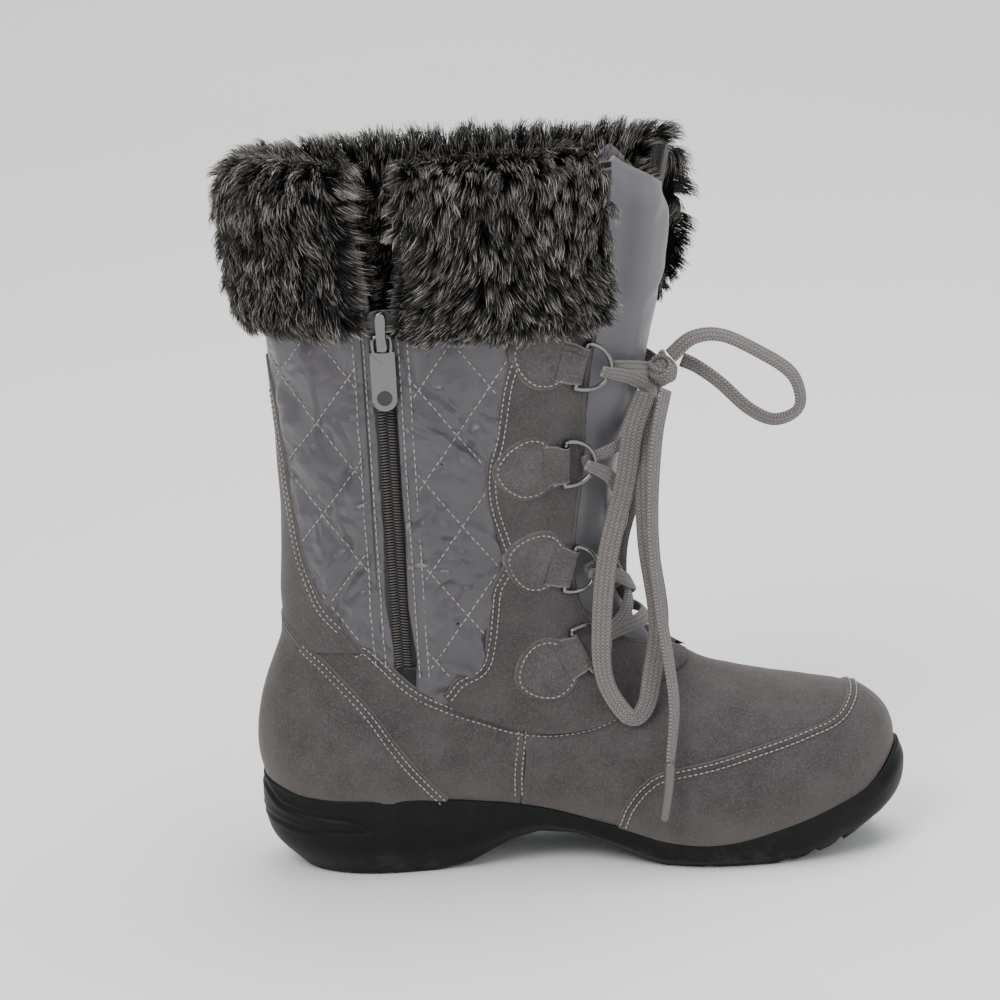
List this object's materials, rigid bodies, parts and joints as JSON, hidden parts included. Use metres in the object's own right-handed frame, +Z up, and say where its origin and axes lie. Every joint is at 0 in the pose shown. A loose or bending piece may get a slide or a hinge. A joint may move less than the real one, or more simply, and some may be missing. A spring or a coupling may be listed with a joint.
{
  "type": "snow boot",
  "caption": "Left mid-calf snow boot with lugged rubber sole, suede foot, quilted shaft, side zip, laced rings and folded fur cuff.",
  "frame": {"origin": "on the floor under the middle of the heel seat", "axes": "+X to the toe, +Y to the outer side of this left boot, +Z up"},
  "size_m": [0.2685, 0.1131, 0.299],
  "materials": {
    "rubber": "matte",
    "felt": "matte",
    "suede": "napped",
    "nylon": "satin",
    "fur": "long pile",
    "zip_nylon": "matte",
    "zip_metal": "satin",
    "nickel": "satin",
    "lace": "braided",
    "lace_tip": "matte"
  },
  "bodies": {
    "boot": {"sole": "rubber", "insole": "felt", "upper": "suede", "toe_cap": "suede", "heel_counter": "suede", "tongue": "nylon", "cuff_front": "fur", "cuff_back": "fur", "zip_chain": "zip_nylon", "zip_slider": "zip_metal", "ring_inner_1": "nickel", "ring_tab_inner_1": "suede", "ring_inner_2": "nickel", "ring_tab_inner_2": "suede", "ring_inner_3": "nickel", "ring_tab_inner_3": "suede", "ring_inner_4": "nickel", "ring_tab_inner_4": "suede", "ring_outer_1": "nickel", "ring_tab_outer_1": "suede", "ring_outer_2": "nickel", "ring_tab_outer_2": "suede", "ring_outer_3": "nickel", "ring_tab_outer_3": "suede", "ring_outer_4": "nickel", "ring_tab_outer_4": "suede", "lace_bar_1": "lace", "lace_crossing_1": "lace", "lace_crossing_2": "lace", "lace_crossing_3": "lace", "lace_knot": "lace", "lace_loop_right": "lace", "lace_loop_down": "lace", "lace_end_near": "lace", "lace_end_far": "lace", "lace_tip_near": "lace_tip"},
    "pull": {"zip_pull": "nickel"}
  },
  "joints": [
    {"name": "pull_hinge", "type": "hinge", "parent": "boot", "child": "pull", "pos_m": [0.0175, -0.04248, 0.22995], "axis": [-1, 0, 0], "range_deg": [0, 100]}
  ]
}
